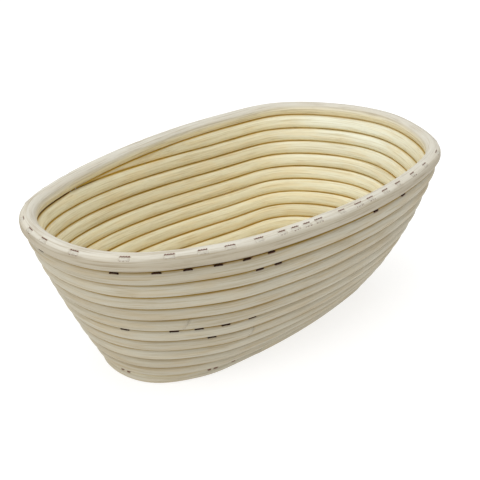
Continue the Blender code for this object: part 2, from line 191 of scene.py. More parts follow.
# Their bumps, coarse to fine: strength and height.
CANE_BUMPS = (("streak", 0.5, 0.00025), ("fibre", 0.6, 0.00015), ("pore", 0.5, 0.00006))
GROOVE_RAGGED = 0.8              # how far the streaks break up the edge of the grooves' painted shade
GROOVE_EDGE = (0.05, 0.75)
STAIN_AND_SHADE_RAMP = (0.15, 0.75)
PAINTED_LIGHT_GROOVE_FADE = 0.4            # share of the grooves' painted shade taken away under the +X end's painted light
# Where the cane's painted light and shade tints pass over, in metres from its centre line, and along X
# for the end's painted light.
INSIDE_EDGE = (0.0014, -0.0018)
UPPER_EDGE = (0.0, 0.0036)
PAINTED_LIGHT_END = (0.078, 0.125)
STAIN_AND_SHADE_TONE = (0.12, 0.036, 0.016, 1)
# The rim staples' pale crowns are painted reflection: non-metallic, and as pale as the white they
# reflect.
CROWN_STEEL_PAINTED_REFLECTION = ((0.58, 0.55, 0.47, 1), (0.48, 0.44, 0.36, 1))
# The groove staples' near-black steel is painted shade of the pockets they sit in.
GROOVE_STEEL_PAINTED_SHADE = ((0.045, 0.018, 0.010, 1), (0.018, 0.007, 0.004, 1))

# The studio.
FLOOR_TONE = (0.45, 0.45, 0.45, 1)
FLOOR_GLOW = 0.69                # lifts the floor to the pale backdrop
FLOOR_DROP = 0.0002              # below the basket, so that they don't share a plane
AIR_LIGHT = 0.78
# Square lights: name, place, size and power. They shine on the target.
STUDIO_LIGHTS = (("key_light", (-1.2, -0.1, 0.9), 0.9, 5.5), ("top_light", (0.0, 0.0, 1.6), 1.4, 7.0))
LIGHT_TARGET = (0, 0, 0.03)
WHITE = (1.0, 1.0, 1.0)
CAMERA_TARGET = (-0.022552, -0.004307, 0.050942)
CAMERA_DISTANCE = 0.493725
CAMERA_AZIMUTH = -0.827
CAMERA_ELEVATION = 0.415
CAMERA_ROLL = -0.026
CAMERA_LENS = 74.715             # in millimetres, on a 36 mm sensor
CAMERA_SHIFT = (0.0390, -0.0069)


# ---------------------------------------------------------------- winding

def inset_and_drop(lean, slope):
    """The wall's profile is an arc, because its lean changes evenly down the slope."""
    bend = (lean[1] - lean[0]) / WALL_SLOPE
    angle = lean[0] + bend * slope
    inset = (math.cos(lean[0]) - np.cos(angle)) / bend
    drop = (np.sin(angle) - math.sin(lean[0])) / bend
    return inset, drop


SIDE_INSET, SIDE_DROP = inset_and_drop(SIDE_LEAN, WALL_SLOPE)
END_DROP = inset_and_drop(END_LEAN, WALL_SLOPE)[1]
EDGE_HALF_WIDTH = RIM_HALF_WIDTH - SIDE_INSET
FLOOR_PITCH = (EDGE_HALF_WIDTH - HAIRPIN_HALF_WIDTH) / FLOOR_TURNS


def floor_inset(row):
    """How far inside the base edge the floor's turns lie, with room for the cane to cross over."""
    past = np.maximum(row - WALL_ROWS, 0.0)
    part = past % 1.0
    room = np.maximum(CORNER_ROOM - np.floor(past) * (FLOOR_PITCH - PITCH), 0.0)
    return past * FLOOR_PITCH + room * np.sin(math.pi * part ** ROOM_SKEW)


def oval(half_length, half_width, fraction):
    """Points and headings of the outward normals on the four-arc oval."""
    end_radius = END_ROUNDNESS * half_width
    end_centre = half_length - end_radius
    side_radius = end_centre ** 2 + half_width ** 2 - end_radius ** 2
    side_radius = side_radius / (2 * (half_width - end_radius))
    side_centre = half_width - side_radius
    meet = np.arctan2(-side_centre, end_centre)
    end_arc = end_radius * meet
    side_arc = side_radius * (math.pi / 2 - meet)
    quarter = np.floor(4 * fraction) % 4
    along = (4 * fraction) % 1.0
    along = np.where(quarter % 2 == 1, 1.0 - along, along)
    distance = along * (end_arc + side_arc)
    on_end = distance < end_arc
    angle = np.where(on_end, distance / end_radius, meet + (distance - end_arc) / side_radius)
    radius = np.where(on_end, end_radius, side_radius)
    mirror_x = np.where((quarter == 1) | (quarter == 2), -1.0, 1.0)
    mirror_y = np.where(quarter >= 2, -1.0, 1.0)
    x = mirror_x * (np.where(on_end, end_centre, 0.0) + radius * np.cos(angle))
    y = mirror_y * (np.where(on_end, 0.0, side_centre) + radius * np.sin(angle))
    return np.stack([x, y, mirror_x * np.cos(angle), mirror_y * np.sin(angle)])


def eased_oval(half_length, half_width, fraction):
    """The oval with its curvature passing gently from arc to arc, as stiff cane bends."""
    offsets = np.linspace(-ARC_EASING, ARC_EASING, EASING_SAMPLES)
    ovals = [oval(half_length, half_width, (fraction + offset) % 1.0) for offset in offsets]
    x, y, normal_x, normal_y = np.mean(ovals, axis=0)
    length = np.hypot(normal_x, normal_y)
    return x, y, normal_x / length, normal_y / length


def raw_cane_points(row, fraction):
    """Centres of the cane on real-valued rows: 0 is the rim, WALL_ROWS the base edge."""
    row = np.asarray(row, float)
    slope = np.where(row < 1, row * RIM_PITCH, RIM_PITCH + (np.minimum(row, WALL_ROWS) - 1) * PITCH)
    side_inset, side_drop = inset_and_drop(SIDE_LEAN, slope)
    end_inset, end_drop = inset_and_drop(END_LEAN, slope)
    half_width = RIM_HALF_WIDTH - side_inset - floor_inset(row)
    half_length = RIM_HALF_LENGTH - end_inset - floor_inset(row)
    x, y, normal_x, normal_y = eased_oval(half_length, half_width, fraction)
    heading = np.arctan2(normal_y, normal_x)
    lobe = np.zeros_like(heading)
    for waves, cosine, sine in HAND_LOBES:
        lobe += cosine * np.cos(waves * heading) + sine * np.sin(waves * heading)
    lobe *= 1.0 - (1.0 - EDGE_LOBES) * slope / WALL_SLOPE
    lobe *= np.minimum(half_width / EDGE_HALF_WIDTH, 1.0)
    share = normal_x ** 2 / (normal_x ** 2 + SHOULDER * normal_y ** 2)
    height = (SIDE_DROP - side_drop) * (1.0 - share) + (END_DROP - end_drop) * share
    x = x + normal_x * lobe + BASE_SHIFT * slope / WALL_SLOPE
    y = y + normal_y * lobe
    return np.stack([x, y, FLOOR_Z + height], axis=-1)


def outline_points(row):
    """Points at even fractions round one row."""
    fractions = np.arange(OUTLINE_SAMPLES) / OUTLINE_SAMPLES
    return raw_cane_points(np.full(OUTLINE_SAMPLES, float(row)), fractions)


def rim_centre():
    points = outline_points(0)
    middle = (points.max(axis=0) + points.min(axis=0)) / 2
    return np.array([middle[0], middle[1], 0.0])


RIM_CENTRE = rim_centre()


def cane_points(row, fraction):
    return raw_cane_points(row, fraction) - RIM_CENTRE


def row_length(row):
    points = outline_points(row)
    return np.linalg.norm(points - np.roll(points, 1, axis=0), axis=1).sum()


ROW_LENGTHS = np.array([row_length(row) for row in range(TOTAL_ROWS + 1)])


def climb(turns):
    """How far each turn has climbed to the next row, from 0 to 1."""
    row = (TOTAL_ROWS - np.floor(turns)).astype(int)
    distance = (turns % 1.0 - CLIMB_SIDE) * ROW_LENGTHS[np.clip(row, 0, TOTAL_ROWS)]
    climb_end = CLIMB_END_TOP - CLIMB_END_STEP * (row - 1)
    progress = np.clip((distance - CLIMB_START) / (climb_end - CLIMB_START), 0.0, 1.0)
    eased = progress * progress * (3.0 - 2.0 * progress)
    return CLIMB_EASE * eased + (1.0 - CLIMB_EASE) * progress


def strand_space(turns):
    """Share of a full cane that fits: less than 1 only at the two pared ends."""
    starting = climb(turns + 1.0)
    ending = 1.0 - climb(turns)
    return np.where(turns < 0, starting, np.where(turns > TOTAL_ROWS - 1, ending, 1.0))


def strand_rows(turns):
    radius = (PITCH * strand_space(turns) - CANE_GAP) / 2
    starting = TOTAL_ROWS + (CANE_DIAMETER / 2 - radius) / FLOOR_PITCH
    ending = (RIM_CANE_DIAMETER / 2 + CANE_GAP + radius) / RIM_PITCH
    wound = TOTAL_ROWS - np.floor(turns) - climb(turns)
    return np.where(turns < 0, starting, np.where(turns > TOTAL_ROWS - 1, ending, wound))


def pared_tip(first, last):
    """Turns wound where the strand, full size at first, has thinned out before last."""
    turns = np.linspace(first, last, TIP_SAMPLES)
    return turns[np.argmax(strand_space(turns) < LEAST_SPACE)]


FIRST_TURN = pared_tip(0.0, -0.5)
LAST_TURN = pared_tip(TOTAL_ROWS - 0.3, TOTAL_ROWS - 0.001)


def strand_centres(turns):
    return cane_points(strand_rows(turns), turns + HALF_TURN)


# ---------------------------------------------------------------- meshes

def wobble(distance, seed, wavelengths):
    """A smooth random line of about unit size, the same on every run."""
    phases = np.random.RandomState(seed).uniform(0, 2 * math.pi, len(wavelengths))
    line = np.zeros_like(distance)
    for length, phase in zip(wavelengths, phases):
        line = line + np.sin(2 * math.pi * distance / length + phase)
    return line / math.sqrt(len(wavelengths))


def window(values, first, last, ease_in, ease_out):
    """1 between first and last and 0 outside, easing over these widths just inside them."""
    return np.clip((values - first) / ease_in, 0.0, 1.0) * np.clip((last - values) / ease_out, 0.0, 1.0)


def unit(vectors):
    return vectors / np.linalg.norm(vectors, axis=-1, keepdims=True)


def lengths_along(points):
    steps = np.linalg.norm(np.diff(points, axis=0), axis=1)
    return np.concatenate([[0.0], np.cumsum(steps)])


def frames_along(centres, upward, closed):
    """Tangent, upward and outward directions at each centre, square to each other."""
    if closed:
        tangent = unit(np.roll(centres, -1, axis=0) - np.roll(centres, 1, axis=0))
    else:
        tangent = unit(np.gradient(centres, axis=0))
    upward = upward - tangent * np.sum(upward * tangent, axis=1, keepdims=True)
    upward = unit(upward)
    return tangent, upward, np.cross(tangent, upward)


def end_faces(ring_count, sides):
    """Fans that close a tube, around two middle points that follow those of its rings."""
    first_middle = ring_count * sides
    last_ring = (ring_count - 1) * sides
    faces = []
    for index in range(sides):
        after = (index + 1) % sides
        faces.append([first_middle, index, after])
        faces.append([first_middle + 1, last_ring + after, last_ring + index])
    return faces


def tube_object(name, rings, closed, attributes):
    """A mesh through rings of points, (ring, side, xyz), with flat ends unless closed."""
    ring_count, sides = rings.shape[:2]
    points = rings.reshape(-1, 3)
    values = {key: value.reshape(ring_count * sides, -1) for key, value in attributes.items()}
    ring = np.arange(ring_count if closed else ring_count - 1)[:, None]
    side = np.arange(sides)[None, :]
    following = (ring + 1) % ring_count
    beside = (side + 1) % sides
    quads = np.stack([ring * sides + side, following * sides + side,
                      following * sides + beside, ring * sides + beside], axis=-1).reshape(-1, 4)
    faces = quads.tolist()
    if not closed:
        points = np.concatenate([points, rings[[0, -1]].mean(axis=1)])
        for key, value in values.items():
            ends = value.reshape(ring_count, sides, -1)[[0, -1]].mean(axis=1)
            values[key] = np.concatenate([value, ends])
        faces = faces + end_faces(ring_count, sides)
    mesh = bpy.data.meshes.new(name)
    mesh.from_pydata(points.tolist(), [], faces)
    for key, value in values.items():
        kind = "FLOAT_VECTOR" if value.shape[1] == 3 else "FLOAT"
        field = "vector" if value.shape[1] == 3 else "value"
        attribute = mesh.attributes.new(key, kind, "POINT")
        attribute.data.foreach_set(field, value.astype(np.float32).ravel())
    mesh.shade_smooth()
    if not closed:
        for end_face in mesh.polygons[-2 * sides:]:
            end_face.use_smooth = False
    piece = bpy.data.objects.new(name, mesh)
    bpy.context.scene.collection.objects.link(piece)
    return piece


def pressed_radius(angle, out, above, below, squareness):
    """Section of a cane that reaches out, above and below by these distances, nearly round."""
    up = TOUCH_OVERLAP * np.where(np.sin(angle) > 0, above, below)
    across = np.abs(np.cos(angle) / out) ** squareness
    return (across + np.abs(np.sin(angle) / up) ** squareness) ** (-1.0 / squareness)


def ridges(distance, angle, seed):
    """Low ridges along the cane, left by drawing it, as a height in metres."""
    random = np.random.RandomState(seed)
    height = 0.0
    for waves, size in CANE_RIDGES:
        drift = 2 * math.pi * distance / random.uniform(0.10, 0.25) + random.uniform(0, 6)
        sway = random.uniform(0, 6) + CANE_RIDGE_SWAY * np.sin(drift)
        height = height + size * np.cos(waves * angle + sway)
    return height


def stain_and_shade_near(points, staples):
    """Dark marks on the cane around each staple's crown, split fibres with painted shade of the pocket, 1
    at the crown and 0 away from it.
    """
    stain_and_shade = np.zeros(points.shape[:-1])
    for staple in staples:
        offset = points - staple["crown"]
        along = offset @ staple["along"]
        across = np.linalg.norm(offset - along[..., None] * staple["along"], axis=-1)
        half_length, reach = staple["stain_and_shade"]
        distance = np.maximum(np.abs(along) / half_length, across / reach)
        stain_and_shade = np.maximum(stain_and_shade, np.clip(STAIN_EDGE * (1.0 - distance), 0.0, 1.0))
    return stain_and_shade


def base_nick(fraction):
    """A dark nick in the lowest groove, placed like a staple's crown."""
    groove_row = WALL_ROWS - 0.5
    here, beside = cane_points(np.full(2, groove_row), np.array([fraction, fraction + 0.002]))
    above = cane_points([groove_row - 0.5], np.array([fraction]))[0]
    around = unit(beside - here)
    outward = np.cross(around, unit(above - here))
    return {"crown": here + NICK_OUT * outward, "along": around, "stain_and_shade": NICK_STAIN}


def strand_stations(start, end, step):
    """Turns at even steps of length along the strand."""
    fine = np.linspace(start, end, int((end - start) * STRAND_SAMPLES))
    distance = lengths_along(strand_centres(fine))
    count = int(distance[-1] / step) + 1
    return np.interp(np.linspace(0, distance[-1], count), distance, fine)


def across_only(offset, tangent):
    return offset - tangent * np.sum(offset * tangent, axis=1, keepdims=True)


def neighbours(turns, centres, tangent, upward):
    """Offsets to the cane above and the cane below, and how far the strand can reach to each."""
    space = strand_space(turns)
    turn_above = np.minimum(turns + 1, LAST_TURN)
    turn_below = np.maximum(turns - 1, FIRST_TURN)
    to_rim = across_only(cane_points(0 * turns, turns + HALF_TURN) - centres, tangent)
    above = across_only(strand_centres(turn_above) - centres, tangent)
    below = across_only(strand_centres(turn_below) - centres, tangent)
    room_above = np.linalg.norm(above, axis=1) * space / (space + strand_space(turn_above))
    room_below = np.linalg.norm(below, axis=1) * space / (space + strand_space(turn_below))
    under_rim = turns + 1 > LAST_TURN
    above = np.where(under_rim[:, None], to_rim, above)
    room_above = np.where(under_rim, np.linalg.norm(to_rim, axis=1) - RIM_CONTACT, room_above)
    innermost = turns - 1 < FIRST_TURN
    below = np.where(innermost[:, None], -2 * HAIRPIN_HALF_WIDTH * upward, below)
    room_below = np.where(innermost, HAIRPIN_HALF_WIDTH * space, room_below)
    return above, below, room_above[:, None], room_below[:, None]


def groove_depth(from_centre, to_neighbour, room):
    """0 on the open surface, 1 where the cane meets its round neighbour: the mask of the grooves' painted
    shade.
    """
    neighbour_radius = np.linalg.norm(to_neighbour, axis=1)[:, None] - room
    apart = np.linalg.norm(from_centre - to_neighbour[:, None], axis=2) - neighbour_radius
    return np.clip((GROOVE_SHADE_REACH - apart) / (GROOVE_FADE * GROOVE_SHADE_REACH), 0.0, 1.0)


def gap_under_rim(turns):
    """How dark the groove under the rim is: by the strand's pared tip, and below the scarf joint."""
    into_top_rows = turns - (TOTAL_ROWS - 2)
    by_tip = window(into_top_rows, *TIP_GROOVE)
    below_scarf = window(into_top_rows, *SCARF_GROOVE)
    return TIP_SHADE * by_tip + SCARF_SHADE * below_scarf


def strand_piece(name, node, start, end, step, seed, spliced, staples):
    """One length of the strand. spliced says which of its ends, first and last, meet another cane."""
    turns = strand_stations(start, end, step)
    rows = strand_rows(turns)
    centres = strand_centres(turns)
    upward = cane_points(rows - 0.2, turns + HALF_TURN) - cane_points(rows + 0.2, turns + HALF_TURN)
    distance = lengths_along(centres)
    tangent, upward, outward = frames_along(centres, upward, closed=False)
    above, below, room_above, room_below = neighbours(turns, centres, tangent, upward)
    angle = np.linspace(0, 2 * math.pi, CANE_SIDES, endpoint=False)[None, :]
    along = distance[:, None]
    out = OUTWARD_SHARE * (room_above + room_below) / 2
    out = out * (1.0 + THICKNESS_WOBBLE * wobble(distance, seed, THICKNESS_WAVES))[:, None]
    section = pressed_radius(angle, out, room_above, room_below, SQUARENESS)
    ridged = np.clip((out - TIP_SMOOTH) / RIDGES_GROW, 0.0, 1.0)
    section = section + ridged * ridges(along, angle, seed + 1)
    sideways = SIDE_WOBBLE * wobble(distance, seed + 2, SIDE_WAVES)
    out_part = section * np.cos(angle) + sideways[:, None]
    up_part = section * np.sin(angle)
    from_centre = outward[:, None] * out_part[..., None] + upward[:, None] * up_part[..., None]
    rings = centres[:, None] + from_centre
    for is_spliced, from_end in zip(spliced, (along, distance[-1] - along)):
        slant = np.clip(1.0 - from_end / SLANT_FADE, 0.0, 1.0) * SPLICE_SLANT * is_spliced
        rings = rings + tangent[:, None] * (slant * up_part)[..., None]
    rings[..., 2] = np.maximum(rings[..., 2], 0.0)
    # Painted shade in the grooves, where this cane meets the rows above and below.
    groove_above = groove_depth(from_centre, above, room_above)
    groove = np.maximum(groove_above, groove_depth(from_centre, below, room_below))
    straight = np.stack([np.broadcast_to(along + seed, section.shape), out_part, up_part], axis=-1)
    stain_and_shade = stain_and_shade_near(rings, staples)
    # The groove under the rim is painted darker beside the pared tip and below the scarf joint.
    stain_and_shade = np.maximum(stain_and_shade, groove_above * gap_under_rim(turns)[:, None])
    fields = {"straight": straight, "stain_and_shade": stain_and_shade, "groove": groove}
    piece = tube_object(name, rings, False, fields)
    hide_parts(node)
    return piece


def rim_stations(staples):
    """Fractions of a turn along the rim: fine beside a staple, coarse between."""
    fine = np.arange(RIM_SAMPLES) / RIM_SAMPLES
    points = cane_points(np.zeros(fine.size), fine)
    spacing = np.linalg.norm(points - np.roll(points, 1, axis=0), axis=1)
    beside = np.zeros(fine.size, bool)
    for staple in staples:
        offset = points - staple["crown"]
        close = np.linalg.norm(offset, axis=1) <= NEAR_CROWN
        beside |= close & (np.abs(offset @ staple["along"]) < FINE_REACH)
    filled = np.cumsum(spacing * np.where(beside, 1 / FINE_STEP, 1 / RIM_STEP))
    count = int(filled[-1])
    return np.interp(np.arange(count) * filled[-1] / count, filled, fine)


def rim_piece(staples):
    """The hoop, with a pressed trough and broken fibres at each staple, darkened partly as painted shade
    of their slits, and its scarf joint.
    """
    fractions = rim_stations(staples)
    rows = np.zeros(fractions.size)
    centres = cane_points(rows, fractions)
    upward = cane_points(rows, fractions) - cane_points(rows + 1.0, fractions)
    distance = lengths_along(centres)
    axes = frames_along(centres, upward, closed=True)
    tangent, upward, outward = axes
    angle = np.linspace(0, 2 * math.pi, RIM_SIDES, endpoint=False)[None, :]
    along = distance[:, None]
    loop = distance[-1] + np.linalg.norm(centres[0] - centres[-1])
    thickness = wobble(distance, RIM_SEED, [loop / waves for waves in RIM_WAVES])
    out = RIM_RADIUS * (1.0 + THICKNESS_WOBBLE * thickness)[:, None]
    section = pressed_radius(angle, out, out, RIM_CONTACT, RIM_SQUARENESS)
    around = 2 * math.pi * along / loop
    for waves, bends, height in RIM_RIDGES:
        sway = RIM_RIDGE_SWAY * np.sin(bends * around + waves)
        section = section + height * np.cos(waves * angle + sway)
    stain_and_shade = np.zeros(section.shape)
    random = np.random.RandomState(SLIT_SEED)
    for staple in staples:
        section, stain_and_shade = press_staple(staple, centres, axes, angle, section, stain_and_shade, random)
    out_part = section * np.cos(angle)
    up_part = section * np.sin(angle)
    from_centre = outward[:, None] * out_part[..., None] + upward[:, None] * up_part[..., None]
    rings = centres[:, None] + from_centre
    scarf_middle = np.interp(SCARF_FRACTION, fractions, distance)
    stain_and_shade = np.maximum(stain_and_shade, SCARF_LINE_SHADE * scarf_line(along - scarf_middle, up_part))
    turn_below = TOTAL_ROWS - 1 + (fractions - HALF_TURN) % 1.0
    turn_below = np.where(turn_below > LAST_TURN, turn_below - 1, turn_below)
    below = across_only(strand_centres(turn_below) - centres, tangent)
    # Painted shade in the groove where the rim meets the row below.
    groove = groove_depth(from_centre, below, RIM_CONTACT)
    # The groove under the rim is painted darker beside the pared tip and below the scarf joint.
    stain_and_shade = np.maximum(stain_and_shade, groove * gap_under_rim(turn_below)[:, None])
    there_and_back = np.minimum(along, loop - along)
    straight = np.stack([np.broadcast_to(there_and_back, section.shape), out_part, up_part], axis=-1)
    fields = {"straight": straight, "stain_and_shade": stain_and_shade, "groove": groove}
    piece = tube_object("rim_rattan", rings, True, fields)
    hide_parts("rim_cane")
    return piece


def scarf_line(along, up_part):
    """1 along the fine slanted line where the hoop's two bevelled ends meet."""
    off_line = up_part - along * RIM_CANE_DIAMETER / SCARF_LENGTH
    near = np.abs(along) < SCARF_LENGTH * SCARF_LINE_REACH
    return np.exp(-(off_line / SCARF_LINE) ** 2) * near


def press_staple(staple, centres, axes, angle, section, stain_and_shade, random):
    """Sinks the rim's surface under one crown and darkens the fibres split along its edges: partly split
    fibres, partly painted shade of the slits.
    """
    tangent, upward, outward = axes
    offset = staple["crown"] - centres
    index = np.argmin(np.linalg.norm(offset, axis=1))
    to_crown = offset[index]
    crown_angle = math.atan2(to_crown @ upward[index], to_crown @ outward[index])
    along = ((centres - centres[index]) @ tangent[index] - to_crown @ tangent[index])[:, None]
    close = np.linalg.norm(centres - centres[index], axis=1) < NEAR_CROWN
    along = np.where(close[:, None], along, 1.0)
    across = (angle - crown_angle + math.pi) % (2 * math.pi) - math.pi
    across = across * RIM_RADIUS
    half_length = staple["width"] / 2
    inner_edge = staple["breadth"] / 2 + TROUGH_INSIDE
    outer_edge = -staple["breadth"] / 2 - TROUGH_MARGIN
    in_length = np.clip((half_length + TROUGH_MARGIN - np.abs(along)) / TROUGH_EDGE, 0.0, 1.0)
    in_breadth = window(across, outer_edge, inner_edge, TROUGH_EDGE, TROUGH_EDGE)
    section = section - TROUGH_DEPTH * in_length * in_breadth
    slit_half = half_length * random.uniform(0.85, 1.1)
    slit_length = np.clip((slit_half - np.abs(along)) / SLIT_FADE, 0.0, 1.0)
    ragged = SLIT_RAGGED * np.sin(2 * math.pi * along / SLIT_WANDER + random.uniform(0, 6))
    inner_slit = np.exp(-((across - inner_edge + ragged) / INNER_SLIT) ** 4)
    inner_slit = INNER_SLIT_SHADE * inner_slit
    outer_slit = np.exp(-((across - outer_edge - ragged) / OUTER_SLIT) ** 2)
    outer_slit = random.uniform(0.45, 0.95) * outer_slit
    unbroken = np.sin(2 * math.pi * along / SLIT_BREAKS + random.uniform(0, 6)) > -0.3
    slits = np.maximum(inner_slit, outer_slit * unbroken)
    return section, np.maximum(stain_and_shade, slit_length * slits)


# ---------------------------------------------------------------- staples

def middle_of(values):
    return (values.max() + values.min()) / 2


def staple_from_node(node):
    """A CAD staple's crown centre, directions and sizes, read from its vertices."""
    points = np.array([vertex.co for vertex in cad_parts[node].data.vertices], float)
    middle = points.mean(axis=0)
    outside = np.array([middle[0] - np.clip(middle[0], -END_CENTRE, END_CENTRE), middle[1], 0.0])
    around = unit(np.array([-outside[1], outside[0], 0.0]))
    directions = np.linalg.svd(points - middle, full_matrices=False)[2]
    flat = directions[2]
    along = max(directions[:2], key=lambda direction: abs(direction @ around))
    leg = np.cross(along, flat)
    leg = leg * np.sign(leg @ outside)
    on_leg, on_along, on_flat = [(points - middle) @ direction for direction in (leg, along, flat)]
    on_rim = node.startswith("rim_staple")
    lift = CROWN_LIFT if on_rim else -CROWN_SINK
    crown = middle + leg * (on_leg.max() + lift) + along * middle_of(on_along) + flat * middle_of(on_flat)
    return {"node": node, "crown": crown, "leg": leg, "along": along,
            "reach": np.ptp(on_leg) + lift, "width": np.ptp(on_along),
            "breadth": np.ptp(on_flat) * (1.0 if on_rim else GROOVE_BREADTH),
            "stain_and_shade": STAPLE_MARK_AND_SHADE}


def squared(wave):
    """A sine or cosine with flattened sides, for the section of flat wire."""
    return np.sign(wave) * np.abs(wave) ** WIRE_SQUARING


def staple_path(half, reach):
    """Centre line of the wire in the staple's own plane: up one leg, over the crown and down."""
    shoulder = -STAPLE_WIRE / 2 - STAPLE_CORNER
    leg_y = np.linspace(-reach + LEG_SHORTER, shoulder, 5)
    leg = np.stack([np.full(leg_y.size, -half), leg_y], axis=1)
    arc = np.linspace(0, math.pi / 2, 7)
    bend_x = -half + STAPLE_CORNER - STAPLE_CORNER * np.cos(arc)
    bend = np.stack([bend_x, shoulder + STAPLE_CORNER * np.sin(arc)], axis=1)
    crown_x = np.linspace(-half + STAPLE_CORNER, 0, 5)[1:]
    crown = np.stack([crown_x, np.full(crown_x.size, -STAPLE_WIRE / 2)], axis=1)
    path = np.concatenate([leg, bend, crown])
    other_side = (path * [-1, 1])[-2::-1]
    return np.concatenate([path, other_side])


def staple_piece(staple, material):
    """Flat wire bent into a staple with round corners and worn edges."""
    path = staple_path(staple["width"] / 2 - STAPLE_WIRE / 2, staple["reach"])
    tangent = unit(np.gradient(path, axis=0))
    normal = np.stack([-tangent[:, 1], tangent[:, 0]], axis=1)
    angle = np.linspace(0, 2 * math.pi, WIRE_SIDES, endpoint=False)
    section_up = squared(np.sin(angle)) * STAPLE_WIRE / 2
    section_across = squared(np.cos(angle)) * staple["breadth"] / 2
    flat = path[:, None] + normal[:, None] * section_up[None, :, None]
    across = np.broadcast_to(section_across[None, :, None], flat.shape[:2] + (1,))
    local = np.concatenate([flat, across], axis=2)
    axes = np.stack([staple["along"], staple["leg"], np.cross(staple["along"], staple["leg"])])
    rings = staple["crown"] + local @ axes
    name = staple["node"].replace("staple", "steel_staple")
    piece = tube_object(name, rings, False, {"straight": local})
    piece.data.materials.append(material)
    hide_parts(staple["node"])
    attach(piece, BODY)
    return piece


# ---------------------------------------------------------------- materials

class Shader:
    """Short calls to build one material's nodes."""

    def __init__(self, name):
        self.material = bpy.data.materials.new(name)
        self.material.use_nodes = True
        self.tree = self.material.node_tree
        self.surface = self.tree.nodes["Principled BSDF"]

    def add(self, kind, inputs=None, **settings):
        node = self.tree.nodes.new(kind)
        for key, value in settings.items():
            setattr(node, key, value)
        for key, value in (inputs or {}).items():
            self.put(node.inputs[key], value)
        return node

    def put(self, socket, value):
        if isinstance(value, bpy.types.NodeSocket):
            self.tree.links.new(value, socket)
        else:
            socket.default_value = value

    def attribute(self, name):
        return self.add("ShaderNodeAttribute", attribute_name=name)

    def noise(self, vector, scale, detail):
        """Noise on a vector that is first multiplied by scale, an (x, y, z)."""
        scaled = self.add("ShaderNodeVectorMath", {0: vector, 1: scale}, operation="MULTIPLY")
        inputs = {"Vector": scaled.outputs[0], "Scale": 1.0, "Detail": detail, "Roughness": 0.55}
        return self.add("ShaderNodeTexNoise", inputs).outputs["Fac"]

    def ramp(self, value, low, high):
        """0 at low and under, 1 at high and over."""
        node = self.add("ShaderNodeMapRange", {"Value": value, "From Min": low, "From Max": high},
                        interpolation_type="SMOOTHSTEP")
        return node.outputs["Result"]

    def mix(self, share, first, second, blend="MIX"):
        node = self.add("ShaderNodeMix", data_type="RGBA", blend_type=blend, clamp_factor=True)
        self.put(node.inputs[0], share)
        self.put(node.inputs[6], first)
        self.put(node.inputs[7], second)
        return node.outputs[2]

    def maths(self, operation, first, second):
        node = self.add("ShaderNodeMath", operation=operation)
        self.put(node.inputs[0], first)
        self.put(node.inputs[1], second)
        return node.outputs[0]

    def roughen(self, noise, low, high):
        """Roughness from low to high with the noise."""
        rough = self.add("ShaderNodeMapRange", {"Value": noise, "To Min": low, "To Max": high})
        self.put(self.surface.inputs["Roughness"], rough.outputs["Result"])

    def bump(self, noise, strength, height):
        """Adds a bump on top of those that the surface has."""
        bump = self.add("ShaderNodeBump", {"Height": noise, "Strength": strength, "Distance": height})
        normal = self.surface.inputs["Normal"]
        if normal.is_linked:
            self.put(bump.inputs["Normal"], normal.links[0].from_socket)
        self.put(normal, bump.outputs["Normal"])


def peeled_colour(shader, noises, tones):
    """Broad tone changes between pale and deep, with darker patches, streaks, fibres and pores."""
    colour = shader.mix(shader.ramp(noises["broad"], 0.32, 0.68), tones["deep"], tones["pale"])
    for noise, low, high, amount, tint in CANE_DARKENING:
        share = shader.maths("MULTIPLY", shader.ramp(noises[noise], low, high), amount)
        colour = shader.mix(share, colour, tones[tint], "MULTIPLY")
    return colour


